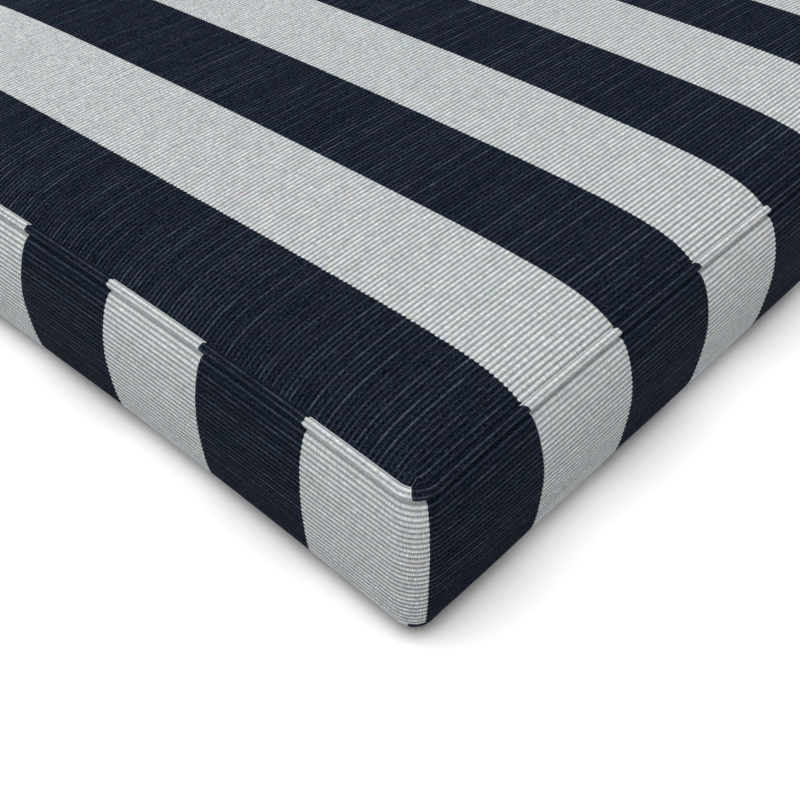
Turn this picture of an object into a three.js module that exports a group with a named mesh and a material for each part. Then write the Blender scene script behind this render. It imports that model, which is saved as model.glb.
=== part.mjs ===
// Square seat cushion for an outdoor chair, boxed and piped, lying on its back.
// One filled body has the crown, the drawn-in sides and the bulging side band,
// and two closed rings of piping lie in the seams above and below that band.
// Millimetres, +Z up. The origin is the middle of the flat face that it rests on.
// The stripes of the cloth run along Y, and the front side faces -Y.

import * as THREE from 'three';

// Plan, taken at the seams
const STRIPE = 63.5;
const STRIPES_ACROSS = 8;
const HALF = (STRIPE * STRIPES_ACROSS) / 2;
const CORNER_RADIUS = 11;
const DRAW_IN_X = 8.4;
const DRAW_IN_Y = 3.8;
// Power of the curve of a drawn-in side: 2 is a parabola, and more is straighter in the middle
const SIDE_CURVE_X = 2;
const SIDE_CURVE_Y = 4.4;

// The two seams: the height of the middle of their piping, and how far inside the plan it is
const SEAM_TO_SEAM = 76;
const LOWER_SEAM = { height: 9, inset: 1.7 };
const UPPER_SEAM = { height: LOWER_SEAM.height + SEAM_TO_SEAM, inset: 0 };

// Piping, and the groove in the filled body that it lies in
const PIPING_RADIUS = 2.4;
const PIPING_CLEARANCE = 0.4;
const GROOVE_RADIUS = PIPING_RADIUS + PIPING_CLEARANCE;
const PIPING_FACETS = 12;

// Top panel: a rounded shoulder at the seam, a crown behind it and a low dome over all
const PANEL_LIFT = 3.1;
const CROWN = 8.3;
const CROWN_REACH = 25;
const DOME = 5.3;
const SEAM_DIP_START = 2.2;
const SEAM_DIP_REACH = 6;

// Bottom panel: rounded up from the flat face to just under the lower seam
const REST_INSET = 46;
const REST_ROUNDING = 2.4;
const REST_START = 4.2;
const REST_LIFT = LOWER_SEAM.height - 1;

// Side band: how far it stands out of the seams at a corner, and how deep its bulge grows
// along the sides, with the reach of that growth. Then how far from the seams it starts.
const BULGE_AT_CORNER = 5.3;
const BULGE_X = { depth: 11.1, reach: 130 };
const BULGE_Y = { depth: 10.7, reach: 40 };
const BAND_BELOW_UPPER = 3;
const BAND_ABOVE_LOWER = 2.6;
// Its section: the share of the way up where it is widest, and on both sides of that the
// sharpness and the fullness of the curve
const WIDEST = 0.49;
const UPPER_CURVE = { sharpness: 2.33, fullness: 1.96 };
const LOWER_CURVE = { sharpness: 1.3, fullness: 4.4 };

// Steps of the facets
const SIDE_STEPS = 14;
const CORNER_STEPS = 6;
const TOP_INSETS = [3.2, 4.6, 7, 11, 16, 23, 33, 47, 68, 100, 145, 195];
const BOTTOM_INSETS = [REST_INSET, 37, 29, 21.5, 15, 10, 6.8, 5.2];
const BAND_STEPS = [0.008, 0.04, 0.1, 0.19, 0.29, 0.4, 0.5, 0.6, 0.71, 0.81, 0.89, 0.95, 0.985];
const TOP_GROOVE_ANGLES = [270, 240, 210, 185];
const BOTTOM_GROOVE_ANGLES = [205, 180, 152, 124, 96, 68, 38];

// The outline of a seam as a square with round corners, before its sides are drawn in.
// Each station has its place, its outward direction and how far the band bulges there.
function seamStations() {
  const straight = HALF - CORNER_RADIUS;
  const stations = [];
  for (let side = 0; side < 4; side += 1) {
    const out = (side - 1) * (Math.PI / 2);
    const bulge = side % 2 === 0 ? BULGE_Y : BULGE_X;
    for (let i = 0; i < SIDE_STEPS; i += 1) {
      const along = -Math.cos((Math.PI * i) / SIDE_STEPS) * straight;
      const fromCorner = straight - Math.abs(along);
      const growth = 1 - Math.exp(-fromCorner / bulge.reach);
      stations.push({
        x: HALF * Math.cos(out) - along * Math.sin(out),
        y: HALF * Math.sin(out) + along * Math.cos(out),
        out,
        bulge: BULGE_AT_CORNER + (bulge.depth - BULGE_AT_CORNER) * growth,
      });
    }
    for (let i = 0; i < CORNER_STEPS; i += 1) {
      const turn = out + ((Math.PI / 2) * i) / CORNER_STEPS;
      const next = out + Math.PI / 2;
      stations.push({
        x: straight * (Math.cos(out) + Math.cos(next)) + CORNER_RADIUS * Math.cos(turn),
        y: straight * (Math.sin(out) + Math.sin(next)) + CORNER_RADIUS * Math.sin(turn),
        out: turn,
        bulge: BULGE_AT_CORNER,
      });
    }
  }
  return stations;
}

// Draws the sides of the square plan in between their corners: a point moves towards
// the middle in proportion to its place, most where the other coordinate is zero.
function drawnIn(x, y, z) {
  const slackX = 1 - Math.min(1, Math.abs(y / HALF) ** SIDE_CURVE_X);
  const slackY = 1 - Math.min(1, Math.abs(x / HALF) ** SIDE_CURVE_Y);
  return new THREE.Vector3(
    x * (1 - (DRAW_IN_X / HALF) * slackX),
    y * (1 - (DRAW_IN_Y / HALF) * slackY),
    z,
  );
}

function beside(station, outset, z) {
  return drawnIn(
    station.x + outset * Math.cos(station.out),
    station.y + outset * Math.sin(station.out),
    z,
  );
}

function inset(station, distance, height) {
  const scale = (HALF - distance) / HALF;
  const x = station.x * scale;
  const y = station.y * scale;
  return drawnIn(x, y, height(x, y, distance));
}

// Crown and dome of the top panel over a point of the square plan
function topHeight(x, y, distance) {
  const riseX = 1 - Math.exp(-(HALF - Math.abs(x)) / CROWN_REACH);
  const riseY = 1 - Math.exp(-(HALF - Math.abs(y)) / CROWN_REACH);
  const dome = DOME * (1 - (x / HALF) ** 2) * (1 - (y / HALF) ** 2);
  const dip = 1 - Math.exp(-(distance - SEAM_DIP_START) / SEAM_DIP_REACH);
  return UPPER_SEAM.height + (PANEL_LIFT + CROWN * riseX * riseY + dome) * dip;
}

function bottomHeight(x, y, distance) {
  const share = (REST_INSET - distance) / (REST_INSET - REST_START);
  return REST_LIFT * share ** REST_ROUNDING;
}

// Outward share of the side band's bulge at a share of the way up the band
function bandShare(up) {
  const above = up > WIDEST;
  const curve = above ? UPPER_CURVE : LOWER_CURVE;
  const away = Math.abs(up - WIDEST) / (above ? 1 - WIDEST : WIDEST);
  return (1 - away ** curve.sharpness) ** (1 / curve.fullness);
}

// One ring of points on a circle round the piping of a seam, at an angle from straight out
function seamCircle(stations, seam, radius, turn) {
  const outset = radius * Math.cos(turn) - seam.inset;
  const z = seam.height + radius * Math.sin(turn);
  return stations.map((s) => beside(s, outset, z));
}

function groove(stations, seam, angles) {
  return angles.map((angle) => {
    const turn = THREE.MathUtils.degToRad(angle);
    return seamCircle(stations, seam, GROOVE_RADIUS, turn);
  });
}

function sideBand(stations) {
  const foot = LOWER_SEAM.height + BAND_ABOVE_LOWER;
  const height = UPPER_SEAM.height - BAND_BELOW_UPPER - foot;
  return BAND_STEPS.map((up) => {
    const share = bandShare(up);
    return stations.map((s) => beside(s, s.bulge * share, foot + height * up));
  });
}

// Closed skin over rings of equal length, with a fan at each end where end points
// are given, and otherwise with the last ring joined to the first
function skin(rings, ends) {
  const count = rings[0].length;
  const points = rings.flat();
  const faces = [];
  const bands = ends ? rings.length - 1 : rings.length;
  for (let r = 0; r < bands; r += 1) {
    const low = r * count;
    const high = ((r + 1) % rings.length) * count;
    for (let i = 0; i < count; i += 1) {
      const next = (i + 1) % count;
      faces.push(low + i, low + next, high + next);
      faces.push(low + i, high + next, high + i);
    }
  }
  if (ends) {
    const bottom = points.push(ends.bottom) - 1;
    const top = points.push(ends.top) - 1;
    const last = (rings.length - 1) * count;
    for (let i = 0; i < count; i += 1) {
      const next = (i + 1) % count;
      faces.push(bottom, next, i);
      faces.push(top, last + i, last + next);
    }
  }
  const geometry = new THREE.BufferGeometry().setFromPoints(points);
  geometry.setIndex(faces);
  geometry.computeVertexNormals();
  return geometry;
}

function filledBody(stations) {
  const rings = [
    ...BOTTOM_INSETS.map((d) => stations.map((s) => inset(s, d, bottomHeight))),
    ...groove(stations, LOWER_SEAM, BOTTOM_GROOVE_ANGLES),
    ...sideBand(stations),
    ...groove(stations, UPPER_SEAM, TOP_GROOVE_ANGLES),
    ...TOP_INSETS.map((d) => stations.map((s) => inset(s, d, topHeight))),
  ];
  return skin(rings, {
    bottom: new THREE.Vector3(0, 0, 0),
    top: new THREE.Vector3(0, 0, topHeight(0, 0, HALF)),
  });
}

function pipingRing(stations, seam) {
  const rings = [];
  for (let i = 0; i < PIPING_FACETS; i += 1) {
    const turn = (2 * Math.PI * i) / PIPING_FACETS;
    rings.push(seamCircle(stations, seam, PIPING_RADIUS, turn));
  }
  return skin(rings, null);
}

function cloth(color) {
  return new THREE.MeshStandardMaterial({ color, roughness: 0.9, metalness: 0 });
}

function named(name, geometry, material) {
  const mesh = new THREE.Mesh(geometry, material);
  mesh.name = name;
  return mesh;
}

const stations = seamStations();
const group = new THREE.Group();
group.add(named('cushion', filledBody(stations), cloth(0xc9cfcf)));
group.add(named('piping_top', pipingRing(stations, UPPER_SEAM), cloth(0x161d2c)));
group.add(named('piping_bottom', pipingRing(stations, LOWER_SEAM), cloth(0x161d2c)));

export default group;
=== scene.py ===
import math

import bpy
import numpy as np
from mathutils import Matrix, Vector


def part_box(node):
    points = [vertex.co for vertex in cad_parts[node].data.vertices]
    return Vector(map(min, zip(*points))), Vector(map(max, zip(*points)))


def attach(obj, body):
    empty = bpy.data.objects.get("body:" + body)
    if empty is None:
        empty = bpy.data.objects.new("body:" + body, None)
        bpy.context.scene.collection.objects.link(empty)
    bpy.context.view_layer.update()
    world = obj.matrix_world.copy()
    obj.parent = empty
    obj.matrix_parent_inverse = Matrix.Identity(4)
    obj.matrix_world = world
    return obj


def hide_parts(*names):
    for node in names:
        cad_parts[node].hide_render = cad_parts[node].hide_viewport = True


# Boxed and piped seat cushion in ribbed, striped outdoor cloth, lying on a pale floor.
# Everything is in metres. +Z is up, the stripes of the top panel run along Y, and the
# corner nearest the camera is at -X, -Y.

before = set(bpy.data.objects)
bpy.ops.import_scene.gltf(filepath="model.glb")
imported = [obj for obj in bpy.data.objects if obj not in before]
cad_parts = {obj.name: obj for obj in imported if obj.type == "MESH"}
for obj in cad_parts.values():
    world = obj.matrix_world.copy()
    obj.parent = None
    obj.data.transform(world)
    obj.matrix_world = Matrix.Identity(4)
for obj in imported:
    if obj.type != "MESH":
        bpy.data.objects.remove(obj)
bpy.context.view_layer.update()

MM = 0.001
# Guards a division by a length that may be zero
TINY = 1e-12

# Plan, taken at the seams: a square of eight stripes with round corners and drawn-in sides
STRIPE = 63.5 * MM
HALF = 4 * STRIPE
CORNER_RADIUS = 11 * MM
DRAW_IN_X = 8.4 * MM
DRAW_IN_Y = 3.8 * MM
# Power of the curve of a drawn-in side: 2 is a parabola, and more is straighter in the middle
SIDE_CURVE_X = 2
SIDE_CURVE_Y = 4.4
# Lengths round the plan before its sides are drawn in: half of a side's straight stretch,
# the stretch, the arc of a corner, and the whole way round
STRAIGHT_HALF = HALF - CORNER_RADIUS
STRAIGHT = 2 * STRAIGHT_HALF
CORNER_ARC = CORNER_RADIUS * math.pi / 2
WHOLE_WAY = 4 * (STRAIGHT + CORNER_ARC)


def middle_height(node):
    """Height of the middle of a node's box."""
    low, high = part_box(node)
    return (low[2] + high[2]) / 2


# Seams, from the frame's own rings of piping, and how far the lower one lies inside the plan
UPPER_SEAM = middle_height("piping_top")
LOWER_SEAM = middle_height("piping_bottom")
LOWER_SEAM_INSET = 1.7 * MM
PIPING_RADIUS = 2.4 * MM

# Top panel
PANEL_LIFT = 3.1 * MM
CROWN = 8.33 * MM
CROWN_REACH = 25 * MM
DOME = 5.3 * MM
TOP_EDGE_INSET = 2.2 * MM
SEAM_DIP_REACH = 6 * MM

# Bottom panel
BOTTOM_EDGE_INSET = 4 * MM
REST_INSET = 46 * MM
REST_START = 4.2 * MM
REST_LIFT = LOWER_SEAM - 1 * MM
REST_ROUNDING = 2.4

# Side band: how far it stands out at a corner, and how deep its bulge grows along the sides,
# with the reach of that growth. Then how far from the seams it starts, and how far it tucks
# in behind the piping
BULGE_AT_CORNER = 5.3 * MM
BULGE_X = {"depth": 11.1 * MM, "reach": 130 * MM}
BULGE_Y = {"depth": 10.7 * MM, "reach": 40 * MM}
BAND_BELOW_UPPER = 3 * MM
BAND_ABOVE_LOWER = 2.6 * MM
BAND_TUCK = 1.7 * MM
# Its section: the share of the way up where it is widest, and on both sides of that the
# sharpness and the fullness of the curve
WIDEST = 0.49
UPPER_CURVE = {"sharpness": 2.33, "fullness": 1.96}
LOWER_CURVE = {"sharpness": 1.3, "fullness": 4.4}

# Ribs of a panel: the distance from rib to rib, and their height. They lie a shift towards
# the back, and up to a spread further apart towards the front and back seams, with its reach
RIB_PITCH = 2.57 * MM
PANEL_RIB_HEIGHT = 0.6 * MM
RIB_SHIFT = 1.25 * MM
RIB_SPREAD = 2.3 * MM
RIB_SPREAD_REACH = 70 * MM
# Ribs of the band: how many rib widths it has from seam to seam, and the ridge of the first
# whole one, in rib widths from the upper seam
BAND_RIB_WIDTHS = 28.7
BAND_FIRST_RIDGE = 1.17
BAND_RIB_HEIGHT = 0.4 * MM
# Ribs of the piping: whole ribs round its section, the angle that one takes, and the angle
# from straight out to the first valley. What is left of the turn is hidden in the seam and
# has no rib
PIPING_RIBS = 5
PIPING_RIB_TURN = math.radians(66)
PIPING_FIRST_VALLEY = math.radians(-151)
PIPING_RIB_HEIGHT = 0.42 * MM
# Section of every rib: the power that makes its ridge a little fuller than a wave's, how
# uneven the ridges are as a share of their height, and the rounds that smooth this along them
RIB_FULLNESS = 0.85
RIB_UNEVENNESS = 0.1
SMOOTHING_ROUNDS = 3

# Grids: places across one rib where the surface is sampled, from valley to valley, and the
# least share of a rib between the rim of a piece and the row beside it
RIB_SAMPLES = np.array([0.0, 0.13, 0.27, 0.42, 0.58, 0.73, 0.87])
RIM_GAP = 0.03
# Columns of the panels, and stations of the seams on a side and on a corner. Those of a
# panel and of a side crowd towards its ends, as the sine of an angle that runs evenly
# between limits
TOP_COLUMNS = 69
BOTTOM_COLUMNS = 49
COLUMN_LIMIT = 0.45 * math.pi
SIDE_STATIONS = 45
CORNER_STATIONS = 14
STATION_LIMIT = 0.97 * math.pi / 2
# Samples of the sections along which the rows of ribs are spaced
PANEL_SAMPLES = 4001
BAND_SAMPLES = 401

# Stripes. The first edge on the top panel lies a little more than one stripe in, and its
# stripes are a little wider than an eighth of the plan
TOP_FIRST_EDGE = 1.062 * STRIPE
TOP_STRIPE = 1.008 * STRIPE
# The strips of the band and of the piping are wound round the cushion, 32 stripes in all,
# front side first. Given are the stripe coordinate where the front side's straight stretch
# starts, the stripes that a corner takes, and the width of a stripe on the front and left
WOUND_STRIPES = 32
BAND_STRIPES = {"start": 0.109, "corner": 0.355, "front": 0.998, "left": 1.006}
PIPING_STRIPES = {"start": 0.128, "corner": 0.354, "front": 1.006, "left": 1.003}
# Stretch of the piping's strip at the near corner: by how many stripes in the upper and in
# the lower seam, how far before the corner's end its middle lies, and its reach
UPPER_PIPING_SHIFT = 0.083
LOWER_PIPING_SHIFT = 0.108
PIPING_SHIFT_PLACE = 10.3 * MM
PIPING_SHIFT_REACH = 18 * MM
# Twist of the piping's strip on the front and on the left, in stripes for each radian round
# its section from one of its valleys. One turns into the other round the near corner, from
# a way before its end to a way after it, and back again at the front's other end
TWIST_FRONT = 0.016
TWIST_LEFT = -0.007
TWIST_VALLEY = 2
TWIST_BEFORE = 35 * MM
TWIST_AFTER = 5 * MM
# Lean of the band's stripes, in stripes from their upper to their lower end, and the shares
# of the way up where it starts and where it is whole. Along the front, and at the far end of
# the left side, it fades over a short way, and on the left it ends before the near corner,
# between two distances from it
LEAN_FRONT = 0.055
LEAN_LEFT = 0.08
LEAN_STARTS = 0.97
LEAN_WHOLE = 0.45
LEAN_FADE = 25 * MM
LEAN_LEFT_LAST = 250 * MM
LEAN_LEFT_GONE = 60 * MM

# Seed of the top panel's unevenness. The bottom panel and the band take the next two
SEED = 7

# Name of the map that holds the stripe coordinate and the rib coordinate of the cloth
CLOTH_MAP = "cloth"

# The cloth on each kind of piece, as inputs of its node group
# Valley is painted shade: the share of light that the off-white keeps in the valleys between ribs
CLOTHS = {
    "panel cloth": {"Valley": 0.38, "Lines": 0.95, "Scallop": 0.017, "Beads": 1.2},
    "band cloth": {"Valley": 0.43, "Lines": 0.75, "Scallop": 0.0, "Beads": 0.8},
    "piping cloth": {"Valley": 0.4, "Lines": 0.8, "Scallop": 0.004, "Beads": 1.0},
}
# Painted shade: the band's valleys keep this much less light from one rib to the next, downwards
BAND_VALLEY_SHADE_STEP = 0.0075
# Painted light in the band's crease under the upper seam, which lifts its shade there: its
# strength, how much of it fades over one rib width, and the rib coordinate where it has faded
CREASE_LIGHT = 0.8
CREASE_LIGHT_FADE = 0.5
CREASE_LIGHT_END = 1.6
# Bump of the threads, the level of the cloth's mirror gloss, and the swing and the middle of
# its roughness
THREAD_BUMP = {"Strength": 0.6, "Distance": 0.25 * MM}
CLOTH_GLOSS = 0.04
ROUGHNESS_SWING = 0.12
ROUGHNESS_MIDDLE = 0.88

# Unevenness of the yarns, as noise: how many of its waves a stripe has along the ribs, how
# many lie from one rib to the next, and its detail. Slubs, beads and tints are each rib's own
SLUBS = (5.0, 7.31, 2.0)
BEADS = (105.0, 3.77, 2.0)
STREAKS = (110.0, 0.5, 2.0)
GRAIN = (150.0, 1.9, 2.0)
PATCHES = (7.0, 0.4, 3.0)
TINTS = (3.0, 5.13, 1.0)
NOISE_ROUGHNESS = 0.6
# Fine threads across the ribs: their number in a stripe, how far the streaks push them, and
# how far each rib shifts them, both as angles of their wave
THREADS = 92.0
THREAD_PUSH = 5.0
THREAD_SHIFT = 1.3
# Beads and threads in the height of the bump
BUMP_BEADS = 0.6
BUMP_THREADS = 0.4

# Edges of the stripes: the change in how far the ridges carry an edge, as a share, where
# navy follows white, and its opposite where white follows navy. Then how far the beads move
# an edge, in stripes, and how sharp it is
SCALLOP_CHANGE = -0.25
EDGE_BEADS = 0.01
EDGE_SHARPNESS = 60.0

# Off-white stripes: the power that narrows the painted light on a ridge, how far each
# unevenness swings the brightness, and how much paler painted light makes them in the
# crease under the upper seam, with its power
WHITE_RIDGE = 1.5
WHITE_STREAKS = 0.9
WHITE_GRAIN = 1.4
WHITE_SLUBS = 0.35
WHITE_THREADS = 0.36
WHITE_CREASE_LIGHT = 0.35
WHITE_CREASE_LIGHT_POWER = 3.0
# Navy stripes: how far each unevenness swings the brightness of their ground, and the middle
# that the grain swings round
NAVY_THREADS = 0.5
NAVY_GRAIN = 6.6
NAVY_GRAIN_MIDDLE = 0.94
NAVY_BEADS = 1.2
# Pale yarns along the navy ridges, partly a painted highlight on every ridge: the power, span
# and least strength of each rib's lot, the factor and offset of the slubs that end them, the
# power that narrows them, and the swing of their beads. Pale specks: the factor and offset
# of the grain that makes them
LOT_POWER = 2.0
LOT_SPAN = 0.8
LOT_LEAST = 0.32
LINE_SLUBS = (1.8, -0.3)
LINE_NARROW = 7.0
LINE_BEADS = 3.8
SPECKS = (3.0, -1.69)

# Patches and single tinted yarns: factor and offset that turn their noise into a mask
PATCH_MASK = (4.0, -1.5)
PINK_MASK = (8.0, -5.4)
GREEN_MASK = (-8.0, 2.7)
# Colours as 8 bit display values. A pair is that of the cool patches and of the warm ones
OFF_WHITE = ((194, 199, 204), (197, 201, 199))
NAVY = ((9, 19, 31), (14, 17, 30))
# Colour of the pale yarns, the pale specks and the painted highlight on the navy ridges
PALE_YARN_AND_HIGHLIGHT = ((66, 78, 89), (76, 78, 88))
PINK_YARN = (204, 198, 201)
GREEN_YARN = (191, 203, 201)

# Stage: half side and grey of the floor, the way towards each sun with its strength, and how
# wide a sun looks
FLOOR_HALF = 60.0
FLOOR_GREY = 0.92
SUNS = {
    "overhead": ((0, 0, 1), 1.35),
    "front": ((0, -0.9, 2.2), 1.29),
    "left": ((-1.13, 0.6, 2.4), 1.92),
}
SUN_WIDTH = math.radians(60)

# Camera: its place, how far it turns from +Y towards +X, how far it looks down, its roll, and
# its lens and sensor in millimetres
CAMERA_PLACE = (-0.45744, -0.42833, 0.37537)
CAMERA_HEADING = math.radians(47.985)
CAMERA_TILT = math.radians(41.965)
CAMERA_ROLL = math.radians(0.225)
CAMERA_LENS = 50.22
CAMERA_SENSOR = 36.0
CAMERA_NEAR_CLIP = 10 * MM


def drawn_in(x, y):
    """The square plan with its sides drawn in: each coordinate shrinks in proportion to
    itself, by the full draw-in where the other coordinate is zero and by nothing at the
    corners, along a power curve between them."""
    slack_x = 1 - np.minimum(1, np.abs(y / HALF) ** SIDE_CURVE_X)
    slack_y = 1 - np.minimum(1, np.abs(x / HALF) ** SIDE_CURVE_Y)
    return x * (1 - DRAW_IN_X / HALF * slack_x), y * (1 - DRAW_IN_Y / HALF * slack_y)


def inside_distance(x, y):
    """Distance from a point of the plan to the rounded square that the seam follows: the
    corner radius less the distance to the inner square, which is negative within it."""
    over_x = np.abs(x) - STRAIGHT_HALF
    over_y = np.abs(y) - STRAIGHT_HALF
    outside = np.hypot(np.maximum(over_x, 0), np.maximum(over_y, 0))
    return CORNER_RADIUS - outside - np.minimum(np.maximum(over_x, over_y), 0)


def top_height(x, y):
    """Height of the top panel: a crown that rises exponentially from both pairs of sides,
    a low dome, and a rounded dip into the seam."""
    rise_x = 1 - np.exp(-(HALF - np.abs(x)) / CROWN_REACH)
    rise_y = 1 - np.exp(-(HALF - np.abs(y)) / CROWN_REACH)
    dome = DOME * (1 - (x / HALF) ** 2) * (1 - (y / HALF) ** 2)
    dip = 1 - np.exp(-np.maximum(inside_distance(x, y) - TOP_EDGE_INSET, 0) / SEAM_DIP_REACH)
    return UPPER_SEAM + (PANEL_LIFT + CROWN * rise_x * rise_y + dome) * dip


def bottom_height(x, y):
    """Height of the bottom panel: a power curve that falls from just under the lower seam
    to the floor over the rest inset, and the floor inside it."""
    share = (REST_INSET - inside_distance(x, y)) / (REST_INSET - REST_START)
    return REST_LIFT * np.clip(share, 0, 1) ** REST_ROUNDING


def band_share(up):
    """Share of the band's bulge at a share of the way up: a superellipse on each side of
    the widest place, with its own two powers."""
    above = np.clip((up - WIDEST) / (1 - WIDEST), 0, 1)
    below = np.clip((WIDEST - up) / WIDEST, 0, 1)
    upper = (1 - above ** UPPER_CURVE["sharpness"]) ** (1 / UPPER_CURVE["fullness"])
    lower = (1 - below ** LOWER_CURVE["sharpness"]) ** (1 / LOWER_CURVE["fullness"])
    return np.where(up > WIDEST, upper, lower)


def rounded(u, v, half, radius):
    """Square -1..1 to a square of the given half side with round corners: inside the corner
    cell a point moves towards the cell's inner corner until the cell's rim is an arc."""
    x, y = u * half, v * half
    inner = half - radius
    px = np.maximum(np.abs(x) - inner, 0) / radius
    py = np.maximum(np.abs(y) - inner, 0) / radius
    length = np.hypot(px, py)
    shrink = np.where(length > 0, np.maximum(px, py) / np.maximum(length, TINY), 1)
    corner = (px > 0) & (py > 0)
    x = np.where(corner, np.sign(x) * (inner + px * shrink * radius), x)
    y = np.where(corner, np.sign(y) * (inner + py * shrink * radius), y)
    return x, y


def along_arc(table, shares):
    """Points at given shares of the arc length of each column of a table of points, by
    straight interpolation between the table's rows."""
    step = np.linalg.norm(np.diff(table, axis=0), axis=2)
    arc = np.concatenate([np.zeros((1, table.shape[1])), np.cumsum(step, 0)])
    arc /= arc[-1]
    row = (arc[None] <= shares[:, None, None]).sum(1) - 1
    row = np.clip(row, 0, len(table) - 2)
    column = np.arange(table.shape[1])[None, :]
    low, high = arc[row, column], arc[row + 1, column]
    t = ((shares[:, None] - low) / (high - low))[:, :, None]
    return table[row, column] * (1 - t) + table[row + 1, column] * t


def normals(points, closed_columns=False):
    """Unit normals of a grid of points: the cross product of the differences along its
    columns and rows, wrapped round where the columns are closed."""
    across = np.gradient(points, axis=1)
    if closed_columns:
        across = np.roll(points, -1, 1) - np.roll(points, 1, 1)
    n = np.cross(across, np.gradient(points, axis=0))
    return n / np.maximum(np.linalg.norm(n, axis=2, keepdims=True), TINY)


def rib_profile(phase):
    """Height share of a rib at a phase, 0 in the valleys at whole numbers and 1 on the ridge:
    a cosine wave, raised to a power under 1 so that the ridges are a little fuller."""
    return (0.5 - 0.5 * np.cos(2 * math.pi * phase)) ** RIB_FULLNESS


def rib_rows(first, last):
    """Phases of the rows of a grid that has whole ribs between two phases: those of the
    samples across each rib, and the two rims."""
    whole = np.arange(math.ceil(first), math.floor(last))
    rows = (whole[:, None] + RIB_SAMPLES[None, :]).ravel()
    rows = np.append(rows, math.floor(last))
    rows = rows[(rows > first + RIM_GAP) & (rows < last - RIM_GAP)]
    return np.concatenate([[first], rows, [last]])


def uneven(ribs, columns, rng):
    """Soft random unevenness of each rib at each column: white noise, smoothed along the rib
    by repeated averaging and scaled to its strength."""
    noise = rng.normal(size=(ribs, columns))
    for _ in range(SMOOTHING_ROUNDS):
        noise = (np.roll(noise, 1, 1) + 2 * noise + np.roll(noise, -1, 1)) / 4
    return noise / noise.std() * RIB_UNEVENNESS


def rib_drop(phase, columns, rib_height, rng):
    """How far the cloth lies under its ridges at each row and column: the rib height times
    what the profile lacks, with soft random unevenness from rib to rib."""
    index = np.floor(phase).astype(int)
    index -= index[0]
    lift = 1 + uneven(index[-1] + 1, columns, rng)[index]
    return rib_height * (1 - rib_profile(phase)[:, None] * lift)


def placed(name, data):
    """A new object of a mesh, light or camera in the scene."""
    thing = bpy.data.objects.new(name, data)
    bpy.context.scene.collection.objects.link(thing)
    return thing


def grid_mesh(name, points, stripe, rib, closed_columns=False, closed_rows=False, turn=False):
    """A mesh of quads over a grid of points, with the cloth's map of stripe and rib at each
    corner. A closed grid's maps have one column or row more than its points, and turn
    reverses the faces of a grid that would otherwise show its back."""
    rows, columns = points.shape[:2]
    r = np.arange(rows if closed_rows else rows - 1)
    c = np.arange(columns if closed_columns else columns - 1)
    r, c = (a.ravel() for a in np.meshgrid(r, c, indexing="ij"))
    corners = [(r, c), (r, c + 1), (r + 1, c + 1), (r + 1, c)]
    if turn:
        corners.reverse()
    faces = np.stack([(i % rows) * columns + j % columns for i, j in corners], 1)
    maps = np.stack([np.stack([stripe[i, j], rib[i, j]], 1) for i, j in corners], 1)
    mesh = bpy.data.meshes.new(name)
    mesh.vertices.add(rows * columns)
    mesh.vertices.foreach_set("co", points.reshape(-1).astype(np.float32))
    mesh.loops.add(faces.size)
    mesh.loops.foreach_set("vertex_index", faces.reshape(-1).astype(np.int32))
    mesh.polygons.add(len(faces))
    mesh.polygons.foreach_set("loop_start", np.arange(0, faces.size, 4, dtype=np.int32))
    mesh.polygons.foreach_set("use_smooth", np.ones(len(faces), dtype=bool))
    layer = mesh.uv_layers.new(name=CLOTH_MAP)
    layer.uv.foreach_set("vector", maps.reshape(-1).astype(np.float32))
    mesh.update(calc_edges=True)
    mesh.validate()
    return placed(name, mesh)


def panel(name, height, facing, edge_inset, columns, seed):
    """A panel over the drawn-in, round-cornered square at the given height function. Its rows
    lie along the ribs, spaced by arc length in the middle section and shifted by a constant
    and two exponentials that die away from the seams. The cloth lies under that height by
    what its ribs lack, measured along the normal, and nowhere under the floor."""
    half = HALF - edge_inset
    y_table = np.linspace(-half, half, PANEL_SAMPLES)
    z_table = height(np.zeros_like(y_table), y_table)
    arc = np.concatenate([[0], np.cumsum(np.hypot(np.diff(y_table), np.diff(z_table)))])
    near_front = np.exp(-(half + y_table) / RIB_SPREAD_REACH)
    near_back = np.exp(-(half - y_table) / RIB_SPREAD_REACH)
    shifted = y_table - RIB_SHIFT + RIB_SPREAD * (near_front - near_back)
    phase_table = (np.interp(shifted, y_table, arc) - arc[-1] / 2) / RIB_PITCH
    phase = rib_rows(phase_table[0], phase_table[-1])
    v = np.interp(phase, phase_table, y_table) / half
    u = np.sin(COLUMN_LIMIT * np.linspace(-1, 1, columns)) / math.sin(COLUMN_LIMIT)
    plan_x, plan_y = rounded(*np.meshgrid(u, v), half, CORNER_RADIUS - edge_inset)
    x, y = drawn_in(plan_x, plan_y)
    points = np.stack([x, y, height(plan_x, plan_y)], 2)
    drop = rib_drop(phase, columns, PANEL_RIB_HEIGHT, np.random.default_rng(seed))
    points -= normals(points) * facing * drop[:, :, None]
    points[:, :, 2] = np.maximum(points[:, :, 2], 0)
    stripe = 1 + (x + HALF - TOP_FIRST_EDGE) / TOP_STRIPE
    rib = np.broadcast_to(phase[:, None], x.shape)
    return grid_mesh(name, points, stripe, rib, turn=facing < 0)


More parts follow.
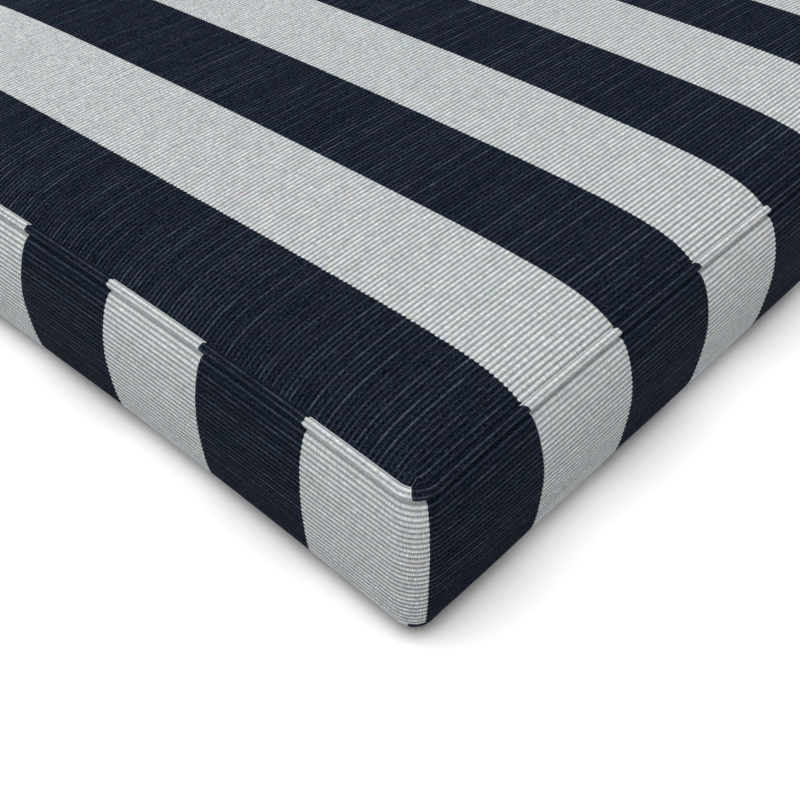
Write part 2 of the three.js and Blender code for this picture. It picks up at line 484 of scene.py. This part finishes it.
def seam_stations():
    """Stations round the seam, closed, as arrays: plan place, outward angle, bulge of the band
    and the way along the seam from the start of the front side's straight stretch. Each
    side is a straight stretch and the arc of the corner after it."""
    angle = np.linspace(-STATION_LIMIT, STATION_LIMIT, SIDE_STATIONS + 1)[:-1]
    along = np.sin(angle) / math.sin(STATION_LIMIT) * STRAIGHT_HALF
    turn = np.linspace(0, math.pi / 2, CORNER_STATIONS + 1)[:-1]
    parts = []
    for side in range(4):
        out = (side - 1) * math.pi / 2
        cos, sin = math.cos(out), math.sin(out)
        bulge = BULGE_Y if side % 2 == 0 else BULGE_X
        growth = 1 - np.exp(-(STRAIGHT_HALF - np.abs(along)) / bulge["reach"])
        start = side * (STRAIGHT + CORNER_ARC)
        parts.append(np.stack([
            HALF * cos - along * sin,
            HALF * sin + along * cos,
            np.full_like(along, out),
            BULGE_AT_CORNER + (bulge["depth"] - BULGE_AT_CORNER) * growth,
            start + STRAIGHT_HALF + along,
        ]))
        parts.append(np.stack([
            STRAIGHT_HALF * (cos - sin) + CORNER_RADIUS * np.cos(out + turn),
            STRAIGHT_HALF * (sin + cos) + CORNER_RADIUS * np.sin(out + turn),
            out + turn,
            np.full_like(turn, BULGE_AT_CORNER),
            start + STRAIGHT + CORNER_RADIUS * turn,
        ]))
    return np.concatenate(parts, 1)


def wound_stripes(way, strip):
    """Stripe coordinate of a strip wound round the cushion: straight lines between the ends
    of the sides and corners. The two hidden sides share what the others leave of the
    whole number of stripes, so that the strip closes."""
    front, left = (STRAIGHT / STRIPE / strip[side] for side in ("front", "left"))
    hidden = (WOUND_STRIPES - front - left - 4 * strip["corner"]) / 2
    spans = np.array([[side, strip["corner"]] for side in (front, hidden, hidden, left)])
    lengths = np.tile([STRAIGHT, CORNER_ARC], 4)
    ways = np.concatenate([[0], np.cumsum(lengths)])
    stripes = np.concatenate([[0], np.cumsum(spans)])
    return strip["start"] + np.interp(way, ways, stripes)


def band_lean(way, up):
    """How far the band's stripes lean, in stripes: nothing at the upper edge, all of it from
    a little under the middle down, in a smooth step, and along the seam by straight lines
    between the places where it fades in and out."""
    left_starts = 3 * (STRAIGHT + CORNER_ARC)
    near_corner = left_starts + STRAIGHT
    ways = [0, LEAN_FADE, STRAIGHT - LEAN_FADE, STRAIGHT]
    leans = [0, -LEAN_FRONT, -LEAN_FRONT, 0]
    ways += [left_starts, left_starts + LEAN_FADE]
    ways += [near_corner - LEAN_LEFT_LAST, near_corner - LEAN_LEFT_GONE]
    leans += [0, LEAN_LEFT, LEAN_LEFT, 0]
    t = np.clip((LEAN_STARTS - up) / (LEAN_STARTS - LEAN_WHOLE), 0, 1)
    return np.interp(way, ways, leans) * t * t * (3 - 2 * t)


def closed_map(values, step):
    """Adds the column that closes a map round the cushion, one turn further on."""
    return np.concatenate([values, values[:, :1] + step], 1)


def side_band(name, seed):
    """The band between the seams: at each station it stands out by the bulge times the
    band's section. Its rows lie along the ribs, evenly spaced by arc length from the upper
    seam down, and at both edges one more row tucks in behind the piping. The cloth lies
    under that surface by what its ribs lack, along the grid's inward normals."""
    px, py, out, bulge, way = seam_stations()
    foot = LOWER_SEAM + BAND_ABOVE_LOWER
    head = UPPER_SEAM - BAND_BELOW_UPPER
    up = (1 + np.cos(np.linspace(0, math.pi, BAND_SAMPLES))) / 2
    bulging = band_share(up)[:, None] * bulge[None, :]
    rising = (foot + (head - foot) * up)[:, None]
    table = np.stack(np.broadcast_arrays(bulging, rising), 2)
    first = 0.5 - BAND_FIRST_RIDGE
    phase = rib_rows(first, first + BAND_RIB_WIDTHS)
    section = along_arc(table, (phase - first) / BAND_RIB_WIDTHS)
    row = np.ones((1, len(px)))
    outset = np.concatenate([-BAND_TUCK * row, section[:, :, 0], -LOWER_SEAM_INSET * row])
    upper_rim = (UPPER_SEAM - BAND_TUCK / 2) * row
    lower_rim = (LOWER_SEAM + BAND_TUCK) * row
    z = np.concatenate([upper_rim, section[:, :, 1], lower_rim])
    x, y = drawn_in(px + outset * np.cos(out), py + outset * np.sin(out))
    points = np.stack([x, y, z], 2)
    drop = np.zeros(z.shape)
    drop[1:-1] = rib_drop(phase, len(px), BAND_RIB_HEIGHT, np.random.default_rng(seed))
    points += normals(points, closed_columns=True) * drop[:, :, None]
    lean = band_lean(way[None, :], (z - foot) / (head - foot))
    stripes = closed_map(wound_stripes(way, BAND_STRIPES) + lean, WOUND_STRIPES)
    phase = np.concatenate([[phase[0] - 1], phase, [phase[-1] + 1]])
    ribs = np.broadcast_to(phase[:, None], stripes.shape)
    return grid_mesh(name, points, stripes, ribs, closed_columns=True, turn=True)


def piping(name, seam, inset, shift):
    """A cord round the seam: a circle with shallow ribs along it, carried round the stations.
    Its strip is stretched a little at the near corner, by a bell curve of the way, and
    twisted in proportion to the angle round its section from one of its valleys."""
    px, py, out, _, way = seam_stations()
    rows = (np.arange(PIPING_RIBS)[:, None] + RIB_SAMPLES[None, :]).ravel()
    turn = 2 * math.pi / PIPING_RIB_TURN
    rows = np.append(rows, [PIPING_RIBS, (PIPING_RIBS + turn) / 2])
    around = rows * PIPING_RIB_TURN + PIPING_FIRST_VALLEY
    ridge = rib_profile(rows) * (rows < PIPING_RIBS)
    radius = PIPING_RADIUS - PIPING_RIB_HEIGHT * (1 - ridge)
    outset = (radius * np.cos(around))[:, None] - inset
    x, y = drawn_in(px + outset * np.cos(out), py + outset * np.sin(out))
    z = np.broadcast_to((seam + radius * np.sin(around))[:, None], x.shape)
    points = np.stack([x, y, z], 2)
    away = (way + PIPING_SHIFT_PLACE + WHOLE_WAY / 2) % WHOLE_WAY - WHOLE_WAY / 2
    stretch = shift * np.exp(-(away / PIPING_SHIFT_REACH) ** 2)
    ways = [TWIST_AFTER, STRAIGHT, STRAIGHT + CORNER_RADIUS, WHOLE_WAY - TWIST_BEFORE]
    twists = [TWIST_FRONT, TWIST_FRONT, TWIST_LEFT, TWIST_LEFT]
    twist = np.interp(way, ways, twists, period=WHOLE_WAY)
    rows = np.append(rows, turn)
    stripe = wound_stripes(way, PIPING_STRIPES) + stretch
    stripe = stripe + twist * (rows[:, None] - TWIST_VALLEY) * PIPING_RIB_TURN
    stripes = closed_map(stripe, WOUND_STRIPES)
    ribs = np.broadcast_to(rows[:, None], stripes.shape)
    return grid_mesh(name, points, stripes, ribs, closed_columns=True, closed_rows=True, turn=True)


def node(tree, kind, inputs=None, **settings):
    """Adds a shader node with its settings, and sets or links its inputs."""
    n = tree.nodes.new(kind)
    for key, value in settings.items():
        setattr(n, key, value)
    for key, value in (inputs or {}).items():
        if isinstance(value, bpy.types.NodeSocket):
            tree.links.new(value, n.inputs[key])
        else:
            n.inputs[key].default_value = value
    return n


def math_node(tree, operation, *values, clamp=False):
    """A Math node on sockets or numbers; returns its output."""
    inputs = dict(enumerate(values))
    return node(tree, "ShaderNodeMath", inputs, operation=operation, use_clamp=clamp).outputs[0]


def mix_colour(tree, factor, a, b):
    """A colour mix, on the sockets 6, 7 and 2 that a Mix node has for colours; returns its
    output."""
    return node(tree, "ShaderNodeMix", {0: factor, 6: a, 7: b}, data_type="RGBA").outputs[2]


def srgb(red, green, blue):
    """A colour given as 8 bit display values, in linear light by the sRGB curve: a straight
    line near black and a power above it."""
    out = []
    for value in (red, green, blue):
        c = value / 255
        out.append(c / 12.92 if c <= 0.04045 else ((c + 0.055) / 1.055) ** 2.4)
    return (*out, 1.0)


def ribbed_stripe_group():
    """Node group of the cloth. From the stripe and rib coordinates it gives the colour, the
    roughness and the height of the fine threads. Valley is the share of light that the
    cloth keeps between two ribs, painted shade in the valleys of the off-white stripes, Lines
    is the strength of the pale yarns in the navy and of the painted highlight along its
    ridges, Scallop is how far the ridges carry the edges of the stripes, in stripes, Beads is
    how much the brightness of the off-white yarn swings along a rib, and Crease is how much
    paler painted light makes the navy in the crease beside a seam, where it makes the
    off-white a little paler too."""
    tree = bpy.data.node_groups.new("ribbed stripe cloth", "ShaderNodeTree")
    face = tree.interface
    for name in ("Stripe", "Rib", "Valley", "Lines", "Scallop", "Beads", "Crease"):
        face.new_socket(name, in_out="INPUT", socket_type="NodeSocketFloat")
    face.new_socket("Colour", in_out="OUTPUT", socket_type="NodeSocketColor")
    face.new_socket("Roughness", in_out="OUTPUT", socket_type="NodeSocketFloat")
    face.new_socket("Thread Height", in_out="OUTPUT", socket_type="NodeSocketFloat")
    given = node(tree, "NodeGroupInput").outputs
    stripe, rib = given["Stripe"], given["Rib"]

    # Sums and products of sockets or numbers
    def plus(a, b):
        return math_node(tree, "ADD", a, b)

    def times(a, b):
        return math_node(tree, "MULTIPLY", a, b)

    def times_plus(value, factor, offset, clamp=False):
        return math_node(tree, "MULTIPLY_ADD", value, factor, offset, clamp=clamp)

    def centred(value):
        """A noise value of 0 to 1 as one round zero."""
        return math_node(tree, "SUBTRACT", value, 0.5)

    def swing(value, amount, middle=1.0):
        """A noise value of 0 to 1 as the middle plus or minus half the amount."""
        return times_plus(value, amount, middle - amount / 2)

    def scaled(colour, factor):
        """A colour times a number."""
        inputs = {0: colour, "Scale": factor}
        return node(tree, "ShaderNodeVectorMath", inputs, operation="SCALE").outputs[0]

    def chosen(mask, pair):
        """The first colour of a pair where a mask is 0, and the second where it is 1."""
        return mix_colour(tree, mask, srgb(*pair[0]), srgb(*pair[1]))

    def noise(across, kind):
        """Soft noise over the cloth, from the stripe coordinate and a place across the ribs."""
        waves_along, waves_across, detail = kind
        place = {"X": times(stripe, waves_along), "Y": times(across, waves_across)}
        return node(tree, "ShaderNodeTexNoise", {
            "Vector": node(tree, "ShaderNodeCombineXYZ", place).outputs[0],
            "Scale": 1.0, "Detail": detail, "Roughness": NOISE_ROUGHNESS,
        }).outputs["Fac"]

    # Ridge: 1 on the middle of a rib, 0 in the valley. Index: a whole number for each rib
    index = math_node(tree, "FLOOR", rib)
    fraction = math_node(tree, "FRACT", rib)
    ridge = math_node(tree, "SINE", times(fraction, math.pi))

    # Uneven yarn: long slubs and short beads along each rib, and threads that cross the ribs,
    # thick streaks and fine grain at random, and a comb of even, fine ones
    slub = noise(index, SLUBS)
    bead = noise(index, BEADS)
    streak = noise(rib, STREAKS)
    grain = noise(rib, GRAIN)
    step = times_plus(streak, THREAD_PUSH, times(stripe, THREADS * 2 * math.pi))
    step = plus(step, times(rib, THREAD_SHIFT))
    comb = times_plus(math_node(tree, "SINE", step), 0.5, 0.5)

    # Stripe mask, 1 in navy. Ridges carry the edge a little to the low side, more so where
    # white follows navy, which gives that edge small scallops
    side = math_node(tree, "COSINE", times(stripe, math.pi))
    reach = times(times_plus(side, SCALLOP_CHANGE, 1.0), given["Scallop"])
    lean = times_plus(ridge, reach, stripe)
    lean = times_plus(centred(bead), EDGE_BEADS, lean)
    wave = math_node(tree, "SINE", times(lean, math.pi))
    navy = times_plus(wave, EDGE_SHARPNESS, 0.5, clamp=True)

    # Warm and cool patches, and single pink or green yarns
    patch = times_plus(noise(rib, PATCHES), *PATCH_MASK, clamp=True)
    yarn = noise(index, TINTS)
    pink = times_plus(yarn, *PINK_MASK, clamp=True)
    green = times_plus(yarn, *GREEN_MASK, clamp=True)

    # Off-white stripes: brightness first, with painted shade in the valleys and painted light on
    # the ridges, then tint
    slope = math_node(tree, "POWER", ridge, WHITE_RIDGE)
    keep = math_node(tree, "SUBTRACT", 1.0, given["Valley"])
    level = times_plus(slope, keep, given["Valley"])
    level = times(level, plus(times(centred(bead), given["Beads"]), 1.0))
    level = times(level, swing(streak, WHITE_STREAKS))
    level = times(level, swing(grain, WHITE_GRAIN))
    level = times(level, swing(slub, WHITE_SLUBS))
    level = times(level, swing(comb, WHITE_THREADS))
    # Painted light: the off-white is a little paler in the crease under the upper seam
    white_crease_light = math_node(tree, "POWER", given["Crease"], WHITE_CREASE_LIGHT_POWER)
    level = times(level, times_plus(white_crease_light, WHITE_CREASE_LIGHT, 1.0))
    tint = mix_colour(tree, pink, chosen(patch, OFF_WHITE), srgb(*PINK_YARN))
    tint = mix_colour(tree, green, tint, srgb(*GREEN_YARN))
    white = scaled(tint, level)

    # Navy stripes: a dark, speckled ground with thin pale yarns and a painted highlight along the
    # ridges
    dark = times(swing(comb, NAVY_THREADS), swing(grain, NAVY_GRAIN, NAVY_GRAIN_MIDDLE))
    dark = math_node(tree, "MAXIMUM", times(dark, swing(bead, NAVY_BEADS)), 0.0)
    lot = node(tree, "ShaderNodeTexWhiteNoise", {"W": index}, noise_dimensions="1D")
    lot = math_node(tree, "POWER", lot.outputs["Value"], LOT_POWER)
    # Every ridge gets at least the least strength, a painted highlight; each rib's lot adds pale
    # yarn
    line = times_plus(lot, LOT_SPAN, LOT_LEAST)
    line = times(line, times_plus(slub, *LINE_SLUBS, clamp=True))
    line = times(line, math_node(tree, "POWER", ridge, LINE_NARROW))
    line = times(line, math_node(tree, "MAXIMUM", swing(bead, LINE_BEADS), 0.0))
    speck = times_plus(grain, *SPECKS, clamp=True)
    line = times(plus(line, speck), given["Lines"])
    parts = {0: scaled(chosen(patch, NAVY), dark), 1: scaled(chosen(patch, PALE_YARN_AND_HIGHLIGHT), line)}
    deep = node(tree, "ShaderNodeVectorMath", parts, operation="ADD")
    # Painted light: the navy is paler in the crease under the upper seam, lifting the shade there
    navy_crease_light = scaled(deep.outputs[0], plus(given["Crease"], 1.0))

    node(tree, "NodeGroupOutput", {
        "Colour": mix_colour(tree, navy, white, navy_crease_light),
        "Roughness": swing(bead, ROUGHNESS_SWING, ROUGHNESS_MIDDLE),
        "Thread Height": times_plus(bead, BUMP_BEADS, times(comb, BUMP_THREADS)),
    })
    return tree


def cloth_material(name, group, valley_shade_step=0.0, crease=0.0):
    """The cloth: the group's colour, roughness and thread bump on a matt surface. On the band
    the painted shade in each rib's valley deepens by a constant from one rib to the next,
    downwards, and painted light makes the cloth paler in the crease under the upper seam,
    which fades evenly over the first two ribs."""
    material = bpy.data.materials.new(name)
    material.use_nodes = True
    tree = material.node_tree
    place = node(tree, "ShaderNodeUVMap", uv_map=CLOTH_MAP)
    split = node(tree, "ShaderNodeSeparateXYZ", {"Vector": place.outputs[0]})
    rib = split.outputs["Y"]
    looks = {"Stripe": split.outputs["X"], "Rib": rib, **CLOTHS[name]}
    # Painted shade in the band's valleys, darker towards the lower seam
    if valley_shade_step:
        looks["Valley"] = math_node(tree, "MULTIPLY_ADD", rib, -valley_shade_step, looks["Valley"])
    # Painted light in the crease under the upper seam, fading over the first two ribs
    if crease:
        offset = CREASE_LIGHT_FADE * CREASE_LIGHT_END
        fade = math_node(tree, "MULTIPLY_ADD", rib, -CREASE_LIGHT_FADE, offset, clamp=True)
        looks["Crease"] = math_node(tree, "MULTIPLY", fade, crease)
    weave = node(tree, "ShaderNodeGroup", looks, node_tree=group)
    bump = node(tree, "ShaderNodeBump", {"Height": weave.outputs["Thread Height"], **THREAD_BUMP})
    shader = tree.nodes["Principled BSDF"]
    tree.links.new(weave.outputs["Colour"], shader.inputs["Base Color"])
    tree.links.new(weave.outputs["Roughness"], shader.inputs["Roughness"])
    tree.links.new(bump.outputs[0], shader.inputs["Normal"])
    shader.inputs["Specular IOR Level"].default_value = CLOTH_GLOSS
    return material


def floor_and_light():
    """A pale floor, three wide, soft suns and a sky that only the camera sees."""
    mesh = bpy.data.meshes.new("floor")
    ways = ((-1, -1), (1, -1), (1, 1), (-1, 1))
    corners = [(FLOOR_HALF * x, FLOOR_HALF * y, 0) for x, y in ways]
    mesh.from_pydata(corners, [], [(0, 1, 2, 3)])
    floor = placed("floor", mesh)
    paint = bpy.data.materials.new("pale floor")
    paint.use_nodes = True
    shader = paint.node_tree.nodes["Principled BSDF"]
    shader.inputs["Base Color"].default_value = (FLOOR_GREY, FLOOR_GREY, FLOOR_GREY, 1)
    shader.inputs["Roughness"].default_value = 1.0
    shader.inputs["Specular IOR Level"].default_value = 0.0
    mesh.materials.append(paint)
    world = bpy.data.worlds.new("studio")
    world.use_nodes = True
    tree = world.node_tree
    seen = node(tree, "ShaderNodeLightPath")
    dark = tree.nodes["Background"]
    dark.inputs["Strength"].default_value = 0.0
    pale = node(tree, "ShaderNodeBackground", {"Color": (1, 1, 1, 1), "Strength": 1.0})
    sky = node(tree, "ShaderNodeMixShader", {
        "Fac": seen.outputs["Is Camera Ray"], 1: dark.outputs[0], 2: pale.outputs[0],
    })
    tree.links.new(sky.outputs[0], tree.nodes["World Output"].inputs["Surface"])
    bpy.context.scene.world = world
    for name, (towards, strength) in SUNS.items():
        sun = bpy.data.lights.new(name, "SUN")
        sun.energy = strength
        sun.angle = SUN_WIDTH
        light = placed(name, sun)
        light.rotation_euler = Vector(towards).to_track_quat("Z", "Y").to_euler()


def photo_camera():
    """The camera at the photograph's place: near the corner, looking down on it."""
    lens = bpy.data.cameras.new("camera")
    lens.sensor_width = CAMERA_SENSOR
    lens.lens = CAMERA_LENS
    lens.clip_start = CAMERA_NEAR_CLIP
    camera = placed("camera", lens)
    turn = (
        Matrix.Rotation(-CAMERA_HEADING, 4, "Z")
        @ Matrix.Rotation(math.pi / 2 - CAMERA_TILT, 4, "X")
        @ Matrix.Rotation(CAMERA_ROLL, 4, "Z")
    )
    camera.matrix_world = Matrix.Translation(CAMERA_PLACE) @ turn
    bpy.context.scene.camera = camera


photo_camera()
group = ribbed_stripe_group()
panel_cloth = cloth_material("panel cloth", group)
band_cloth = cloth_material("band cloth", group, valley_shade_step=BAND_VALLEY_SHADE_STEP, crease=CREASE_LIGHT)
cord_cloth = cloth_material("piping cloth", group)

top = panel("top_panel", top_height, 1, TOP_EDGE_INSET, TOP_COLUMNS, SEED)
under = panel("bottom_panel", bottom_height, -1, BOTTOM_EDGE_INSET, BOTTOM_COLUMNS, SEED + 1)
band = side_band("side_band", SEED + 2)
upper_cord = piping("upper_piping", UPPER_SEAM, 0, UPPER_PIPING_SHIFT)
lower_cord = piping("lower_piping", LOWER_SEAM, LOWER_SEAM_INSET, LOWER_PIPING_SHIFT)

for piece, cloth in ((top, panel_cloth), (under, panel_cloth), (band, band_cloth)):
    piece.data.materials.append(cloth)
    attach(piece, "root")
    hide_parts("cushion")
for piece, cad in ((upper_cord, "piping_top"), (lower_cord, "piping_bottom")):
    piece.data.materials.append(cord_cloth)
    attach(piece, "root")
    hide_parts(cad)

floor_and_light()
bpy.context.scene.view_settings.view_transform = "Standard"
